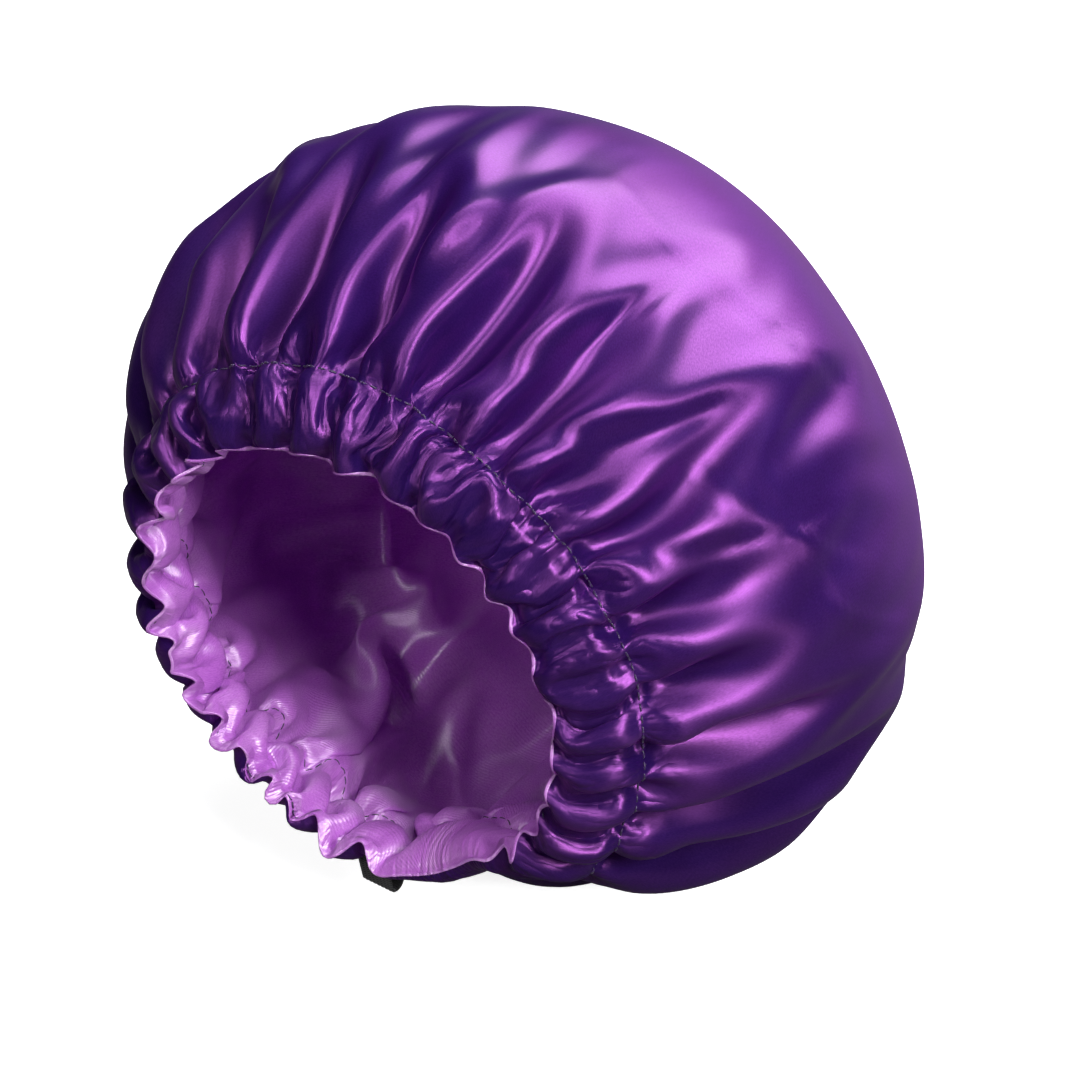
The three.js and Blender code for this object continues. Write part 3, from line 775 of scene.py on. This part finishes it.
class Shader:
    """Short hand for building the nodes of a material or world."""

    def __init__(self, owner):
        owner.use_nodes = True
        self.tree = owner.node_tree
        self.bsdf = self.tree.nodes.get("Principled BSDF")

    def feed(self, socket, value):
        """Links an output to a socket, or sets the socket's own value."""
        if isinstance(value, bpy.types.NodeSocket):
            self.tree.links.new(value, socket)
        else:
            socket.default_value = value

    def node(self, kind, *feeds, **values):
        """A node with its first sockets, then its settings and other sockets by name."""
        n = self.tree.nodes.new(kind)
        for key, value in values.items():
            if key in n.inputs:
                self.feed(n.inputs[key], value)
            else:
                setattr(n, key, value)
        for socket, value in zip(n.inputs, feeds):
            self.feed(socket, value)
        return n

    def surface(self, values):
        """Sockets of the principled shader by name."""
        for key, value in values.items():
            self.feed(self.bsdf.inputs[key], value)

    def maths(self, operation, *feeds):
        return self.node("ShaderNodeMath", *feeds, operation=operation).outputs["Value"]

    def noise(self, vector, scale, detail, roughness=0.5):
        return self.node("ShaderNodeTexNoise", Vector=vector, Scale=scale, Detail=detail,
                         Roughness=roughness)

    def scaled(self, vector, scale):
        return self.node("ShaderNodeMapping", Vector=vector, Scale=scale).outputs["Vector"]

    def ramp(self, fac, stops):
        n = self.node("ShaderNodeValToRGB", Fac=fac)
        elements = n.color_ramp.elements
        elements[0].position, elements[1].position = stops[0][0], stops[-1][0]
        for pos, _ in stops[1:-1]:
            elements.new(pos)
        for e, (_, c) in zip(elements, stops):
            e.color = (*c, 1)
        return n.outputs["Color"]

    def bump(self, height, strength, distance, below=None):
        n = self.node("ShaderNodeBump", Height=height, Strength=strength, Distance=distance)
        if below:
            self.feed(n.inputs["Normal"], below)
        return n.outputs["Normal"]

    def mix(self, fac, a, b):
        return self.node("ShaderNodeMixShader", fac, a, b).outputs["Shader"]

    def camera_ray(self):
        return self.node("ShaderNodeLightPath").outputs["Is Camera Ray"]

    def finish(self, shader, output="Material Output"):
        self.feed(self.tree.nodes[output].inputs["Surface"], shader)


def crinkles(m, uv, strength):
    """Small sharp creases that run across the casing and fade out on the shoulder."""
    round_rim, across_rim, starts, full_at = 26.0, 75.0, S - 0.048, S - 0.026
    way = m.node("ShaderNodeVectorMath", uv, operation="NORMALIZE").outputs["Vector"]
    far = m.node("ShaderNodeVectorMath", uv, operation="LENGTH").outputs["Value"]
    round_it = m.node("ShaderNodeVectorMath", way, operation="SCALE", Scale=round_rim).outputs["Vector"]
    depth = m.node("ShaderNodeCombineXYZ", Z=m.maths("MULTIPLY", far, across_rim)).outputs["Vector"]
    place = m.node("ShaderNodeVectorMath", round_it, depth, operation="ADD").outputs["Vector"]
    noise = m.noise(place, 1.0, 1.5, 0.45).outputs["Fac"]
    crease = m.maths("ABSOLUTE", m.maths("SUBTRACT", noise, 0.5))
    near = m.node("ShaderNodeMapRange", Value=far, interpolation_type="SMOOTHSTEP",
                  **{"From Min": starts, "From Max": full_at, "To Max": strength}).outputs["Result"]
    return m.bump(crease, near, 0.004)


def satin(name, dark, base, light, shine, lit, gloss_share, rough, through, line, line_depth, grain,
          crinkle):
    """Satin: a coloured, stretched sheen, the grain and lines of the weave and some light let through."""
    mat = bpy.data.materials.new(name)
    m = Shader(mat)
    uv = m.node("ShaderNodeUVMap", uv_map="flat_cut").outputs["UV"]
    fine = m.noise(m.scaled(uv, (900, 1900, 1)), 1.0, 2.0, 0.6).outputs["Fac"]
    slow = m.noise(uv, 38.0, 3.0).outputs["Fac"]
    mix = m.node("ShaderNodeMix", 0.55, data_type="RGBA", blend_type="MIX")
    m.feed(mix.inputs[6], m.ramp(fine, [(0.30, dark), (0.52, base), (0.74, light)]))
    m.feed(mix.inputs[7], m.ramp(slow, [(0.30, dark), (0.50, base), (0.72, light)]))
    wobble = m.noise(uv, 14.0, 1.0).outputs["Color"]
    bent = m.node("ShaderNodeVectorMath", wobble, (0, 0.006, 0), uv, operation="MULTIPLY_ADD")
    ribs = m.node("ShaderNodeTexWave", wave_type="BANDS", bands_direction="Y", Distortion=0.0, Scale=1.0,
                  Vector=m.scaled(bent.outputs["Vector"], (0, WAVE / line, 0)))
    lines = m.bump(ribs.outputs["Fac"], line_depth, 0.00025, crinkles(m, uv, crinkle))
    weave = m.bump(fine, grain, 0.00012, lines)
    tangent = m.node("ShaderNodeTangent", direction_type="UV_MAP", uv_map="flat_cut").outputs["Tangent"]
    uneven = m.node("ShaderNodeMapRange", Value=slow, **{"To Min": rough - 0.06, "To Max": rough + 0.06})
    m.surface({
        "Base Color": mix.outputs[2], "Roughness": uneven.outputs["Result"],
        "Normal": weave, "Tangent": tangent, "Anisotropic": 0.4,
        "Specular IOR Level": 0.15, "Specular Tint": (*shine, 1),
        "Sheen Weight": 0.08, "Sheen Roughness": 0.4, "Sheen Tint": (*light, 1),
    })
    shade = tuple(0.58 * c for c in shine)
    gloss = m.node("ShaderNodeBsdfAnisotropic", Roughness=rough + 0.04, Anisotropy=0.5, Normal=weave,
                   Tangent=tangent, Color=m.ramp(fine, [(0.34, shade), (0.66, shine)]))
    glow = m.node("ShaderNodeBsdfTranslucent", Color=(*lit, 1))
    face = m.mix(gloss_share, m.bsdf.outputs["BSDF"], gloss.outputs["BSDF"])
    m.finish(m.mix(through, face, glow.outputs["BSDF"]))
    return mat


def elastic_material():
    mat = bpy.data.materials.new("elastic")
    m = Shader(mat)
    uv = m.node("ShaderNodeUVMap", uv_map="flat_cut").outputs["UV"]
    knit = m.noise(m.scaled(uv, (1500, 2600, 1)), 1.0, 2.0).outputs["Fac"]
    rung = 0.0011
    rungs = m.node("ShaderNodeTexWave", wave_type="BANDS", bands_direction="Y", Vector=uv,
                   Scale=WAVE / rung)
    black = [(0.3, (0.006, 0.006, 0.007)), (0.55, (0.014, 0.014, 0.015)), (0.75, (0.05, 0.05, 0.052))]
    ribs = m.bump(rungs.outputs["Fac"], 0.5, 0.0002)
    m.surface({"Base Color": m.ramp(knit, black), "Normal": m.bump(knit, 0.4, 0.00015, ribs),
               "Roughness": 0.62, "Sheen Weight": 0.25})
    return mat


def thread_material():
    mat = bpy.data.materials.new("thread")
    m = Shader(mat)
    twist = m.noise(m.node("ShaderNodeTexCoord").outputs["Object"], 2600.0, 1.0).outputs["Fac"]
    violet = [(0.35, (0.008, 0.002, 0.02)), (0.6, (0.035, 0.010, 0.085)), (0.75, (0.16, 0.08, 0.28))]
    m.surface({"Base Color": m.ramp(twist, violet), "Normal": m.bump(twist, 0.4, 0.0001),
               "Roughness": 0.35, "Sheen Weight": 0.2})
    return mat


OUTER = satin("outer_satin", dark=(0.009, 0.0027, 0.044), base=(0.014, 0.0045, 0.066),
              light=(0.022, 0.0075, 0.092), shine=(0.84, 0.235, 0.98), lit=(0.66, 0.09, 0.84),
              gloss_share=0.12, rough=0.34, through=0.12,
              line=0.0010, line_depth=0.02, grain=0.30, crinkle=0.55)
LINING = satin("lining_satin", dark=(0.58, 0.12, 0.76), base=(0.72, 0.23, 0.88),
               light=(0.84, 0.41, 0.94), shine=(1.0, 0.92, 1.0), lit=(0.85, 0.22, 0.97),
               gloss_share=0.28, rough=0.38, through=0.23,
               line=0.0012, line_depth=0.40, grain=0.25, crinkle=0.45)
ELASTIC, THREAD = elastic_material(), thread_material()

for obj, mat, slot, nodes in (
    (outer, OUTER, "outer_satin", ["outer_shell"]),
    (lining, LINING, "lining_satin", ["lining_shell"]),
    (needle, THREAD, "thread", ["topstitch_needle_thread"]),
    (bobbin, THREAD, "thread", ["topstitch_bobbin_thread"]),
    (seam, THREAD, "thread", ["edge_seam_thread"]),
    (tacks[0], THREAD, "thread", ["slot_bar_tack_left"]),
    (tacks[1], THREAD, "thread", ["slot_bar_tack_right"]),
    (join, THREAD, "thread", ["elastic_join_stitch"]),
    (band, ELASTIC, "elastic", ["elastic_band"]),
    (pull_loop, ELASTIC, "elastic", ["pull_loop"]),
):
    obj.data.materials.append(mat)
    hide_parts(*nodes)
    if obj is not pull_loop:
        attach(obj, "cap")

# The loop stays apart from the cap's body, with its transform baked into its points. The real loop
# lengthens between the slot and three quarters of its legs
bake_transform(pull_loop)

# Camera at the photo's angle
CAMERA_TURN, CAMERA_RISE, CAMERA_AWAY = math.radians(34.5), math.radians(40), 1.4
VIEW_WIDE, VIEW_RIGHT, VIEW_DOWN = 0.3375, 0.0062, 0.0109  # width of the view at the cap, and its shift
SENSOR = 36

scene = bpy.context.scene
camera = bpy.data.objects.new("camera", bpy.data.cameras.new("camera"))
scene.collection.objects.link(camera)
scene.camera = camera
back = Vector((math.sin(CAMERA_TURN) * math.cos(CAMERA_RISE),
               -math.cos(CAMERA_TURN) * math.cos(CAMERA_RISE), math.sin(CAMERA_RISE)))
right = Vector((math.cos(CAMERA_TURN), math.sin(CAMERA_TURN), 0))
up = back.cross(right)
place = Matrix((right, up, back)).transposed().to_4x4()
place.translation = (Vector((0, AXIS_Y, AXIS_Z)) + right * VIEW_RIGHT - up * VIEW_DOWN
                     + back * CAMERA_AWAY)
camera.matrix_world = place
camera.data.lens = SENSOR * CAMERA_AWAY / VIEW_WIDE


def studio_world():
    """White to the camera, nearly dark to all other rays."""
    world = bpy.data.worlds.new("studio")
    scene.world = world
    w = Shader(world)
    dim = w.tree.nodes["Background"]
    w.feed(dim.inputs["Color"], WHITE)
    w.feed(dim.inputs["Strength"], 0.010)
    pale = w.node("ShaderNodeBackground", Color=WHITE, Strength=1.0)
    w.finish(w.mix(w.camera_ray(), dim.outputs["Background"], pale.outputs["Background"]), "World Output")


def studio_lamp(name, pos, size, energy):
    """A soft lamp that is aimed at the cap."""
    lamp = bpy.data.lights.new(name, "AREA")
    lamp.shape = "RECTANGLE"
    lamp.size, lamp.size_y = size
    lamp.energy = energy
    obj = bpy.data.objects.new(name, lamp)
    scene.collection.objects.link(obj)
    obj.location = pos
    aim = Vector((0, 0, 0.12))
    obj.rotation_euler = (aim - Vector(pos)).to_track_quat("-Z", "Y").to_euler()


def studio_floor():
    """A pale floor that keeps the shadow for the camera, and throws little light back on the cap."""
    half = 5
    mesh = bpy.data.meshes.new("floor")
    corners = [(-half, -half, 0), (half, -half, 0), (half, half, 0), (-half, half, 0)]
    mesh.from_pydata(corners, [], [(0, 1, 2, 3)])
    floor = bpy.data.objects.new("floor", mesh)
    scene.collection.objects.link(floor)
    mat = bpy.data.materials.new("floor")
    m = Shader(mat)
    m.surface({"Base Color": (0.8, 0.8, 0.8, 1), "Roughness": 0.9, "Specular IOR Level": 0.1})
    white = m.node("ShaderNodeEmission", Strength=0.85)
    seen = m.node("ShaderNodeAddShader", m.bsdf.outputs["BSDF"], white.outputs["Emission"])
    dim = m.node("ShaderNodeBsdfDiffuse", Color=(0.09, 0.09, 0.09, 1))
    m.finish(m.mix(m.camera_ray(), dim.outputs["BSDF"], seen.outputs["Shader"]))
    mesh.materials.append(mat)
    return floor


studio_world()
studio_lamp("key", (0.06, 1.15, 1.22), (1.4, 1.1), 60)
studio_lamp("right", (1.15, -0.46, 1.10), (0.45, 0.45), 22)
studio_lamp("front", (-0.12, -1.20, 0.95), (0.35, 0.35), 4.5)
studio_lamp("top", (0.50, -0.50, 1.50), (0.4, 0.4), 11)
floor = studio_floor()

scene.view_settings.view_transform = "Standard"
